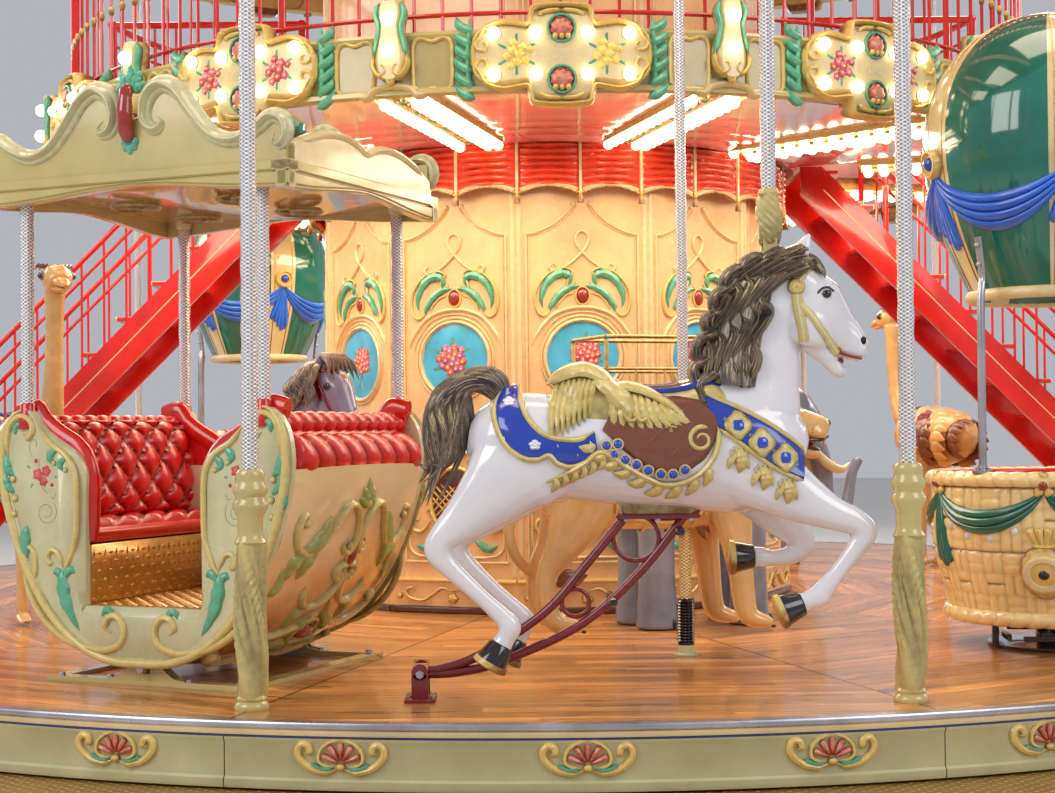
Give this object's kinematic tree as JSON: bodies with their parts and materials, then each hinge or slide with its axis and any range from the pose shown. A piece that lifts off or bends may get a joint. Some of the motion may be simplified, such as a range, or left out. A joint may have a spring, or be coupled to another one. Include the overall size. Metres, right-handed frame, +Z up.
{
  "type": "two-storey fairground carousel",
  "caption": "Two-storey fairground carousel: a round turning platform with jumping horses, rocking boats, balloon baskets and lions under a railed upper deck and a cone roof.",
  "frame": {"origin": "on the ground, on the axis that the platform turns about", "axes": "+Z up along that axis, -Y towards the middle of the bay with the first horse, which faces +X"},
  "size_m": [11.5, 11.5, 8.7259],
  "materials": {
    "steel": "semi-gloss grey paint",
    "chequer": "gold paint on raised chequer plate",
    "planks": "varnished boards",
    "rim": "gloss cream with gold shell ornaments",
    "pearl": "pearl cream sleeves, silver rope poles",
    "apricot": "gloss apricot panels with gold relief",
    "red_gloss": "gloss red",
    "ceiling": "satin red",
    "cream_gloss": "gloss cream with gold and green mouldings",
    "roof": "satin red and cream stripes",
    "horse_white": "gloss white with painted tack",
    "crimson": "gloss crimson",
    "silver": "polished twisted rope",
    "upholstery": "buttoned gloss red upholstery",
    "basket": "gloss weave",
    "balloon": "gloss green with cream gores",
    "lion": "gloss tan",
    "figure_grey": "gloss grey-blue",
    "figure_tan": "gloss tan"
  },
  "bodies": {
    "base": {"base_frame": "steel", "step_ring": "chequer"},
    "turntable": {"deck": "planks", "rim_fascia": "rim", "outer_posts": "pearl", "drum_wall": "apricot", "drum_plinth": "apricot", "valance": "red_gloss", "upper_floor": "ceiling", "light_ribs": "cream_gloss", "upper_fascia": "cream_gloss", "upper_railing_front": "red_gloss", "upper_railing_back": "red_gloss", "upper_drum": "apricot", "roof_frame": "red_gloss", "rounding_boards": "cream_gloss", "roof_cover": "roof", "crown": "cream_gloss", "stair_1": "red_gloss", "stair_2": "red_gloss", "boat_1_skid": "cream_gloss", "boat_2_skid": "cream_gloss", "balloon_1_basket": "basket", "balloon_1_envelope": "balloon", "balloon_2_basket": "basket", "balloon_2_envelope": "balloon", "elephant_1": "figure_grey", "elephant_2": "figure_grey", "pony_1": "figure_grey", "pony_2": "figure_grey", "ostrich_1": "figure_tan", "ostrich_2": "figure_tan", "rod_guide_1": "red_gloss", "rod_guide_2": "red_gloss", "rod_guide_3": "red_gloss", "rod_guide_4": "red_gloss"},
    "horse_1": {"horse_1": "horse_white", "swing_arm_1": "crimson"},
    "rod_1": {"horse_rod_1": "silver"},
    "horse_2": {"horse_2": "horse_white", "swing_arm_2": "crimson"},
    "rod_2": {"horse_rod_2": "silver"},
    "horse_3": {"horse_3": "horse_white", "swing_arm_3": "crimson"},
    "rod_3": {"horse_rod_3": "silver"},
    "horse_4": {"horse_4": "horse_white", "swing_arm_4": "crimson"},
    "rod_4": {"horse_rod_4": "silver"},
    "boat_1": {"boat_1_hull": "cream_gloss", "boat_1_seat_left": "upholstery", "boat_1_seat_right": "upholstery", "boat_1_canopy": "cream_gloss"},
    "boat_2": {"boat_2_hull": "cream_gloss", "boat_2_seat_left": "upholstery", "boat_2_seat_right": "upholstery", "boat_2_canopy": "cream_gloss"},
    "lion_1": {"lion_1": "lion"},
    "lion_2": {"lion_2": "lion"}
  },
  "joints": [
    {"name": "platform_turn", "type": "hinge", "parent": "base", "child": "turntable", "pos_m": [0, 0, 0.15], "axis": [0, 0, 1], "continuous": true},
    {"name": "horse_1_rock", "type": "hinge", "parent": "turntable", "child": "horse_1", "pos_m": [-0.64, -4.62, 0.536], "axis": [0, -1, 0], "range_deg": [-4, 4]},
    {"name": "rod_1_pivot", "type": "hinge", "parent": "horse_1", "child": "rod_1", "pos_m": [0.785, -4.62, 2.195], "axis": [0, -1, 0], "range_deg": [-6, 6]},
    {"name": "horse_2_rock", "type": "hinge", "parent": "turntable", "child": "horse_2", "pos_m": [3.77876, -2.73405, 0.536], "axis": [0.8829, -0.4695, 0], "range_deg": [-4, 4]},
    {"name": "rod_2_pivot", "type": "hinge", "parent": "horse_2", "child": "rod_2", "pos_m": [4.44775, -1.47585, 2.195], "axis": [0.8829, -0.4695, 0], "range_deg": [-6, 6]},
    {"name": "horse_3_rock", "type": "hinge", "parent": "turntable", "child": "horse_3", "pos_m": [0.64, 4.62, 0.536], "axis": [0, 1, 0], "range_deg": [-4, 4]},
    {"name": "rod_3_pivot", "type": "hinge", "parent": "horse_3", "child": "rod_3", "pos_m": [-0.785, 4.62, 2.195], "axis": [0, 1, 0], "range_deg": [-6, 6]},
    {"name": "horse_4_rock", "type": "hinge", "parent": "turntable", "child": "horse_4", "pos_m": [-3.77876, 2.73405, 0.536], "axis": [-0.8829, 0.4695, 0], "range_deg": [-4, 4]},
    {"name": "rod_4_pivot", "type": "hinge", "parent": "horse_4", "child": "rod_4", "pos_m": [-4.44775, 1.47585, 2.195], "axis": [-0.8829, 0.4695, 0], "range_deg": [-6, 6]},
    {"name": "boat_1_rock", "type": "hinge", "parent": "turntable", "child": "boat_1", "pos_m": [-1.60661, -3.60851, 0.5], "axis": [-0.4067, -0.9135, 0], "range_deg": [-4, 4]},
    {"name": "boat_2_rock", "type": "hinge", "parent": "turntable", "child": "boat_2", "pos_m": [1.60661, 3.60851, 0.5], "axis": [0.4067, 0.9135, 0], "range_deg": [-4, 4]},
    {"name": "lion_1_jump", "type": "slide", "parent": "turntable", "child": "lion_1", "axis": [0, 0, 1], "range_m": [-0.08, 0.08]},
    {"name": "lion_2_jump", "type": "slide", "parent": "turntable", "child": "lion_2", "axis": [0, 0, 1], "range_m": [-0.08, 0.08]}
  ],
  "couplings": [
    {"joint": "rod_1_pivot", "follows": "horse_1_rock", "ratio": -1.498},
    {"joint": "rod_2_pivot", "follows": "horse_2_rock", "ratio": -1.498},
    {"joint": "rod_3_pivot", "follows": "horse_3_rock", "ratio": -1.498},
    {"joint": "rod_4_pivot", "follows": "horse_4_rock", "ratio": -1.498}
  ]
}
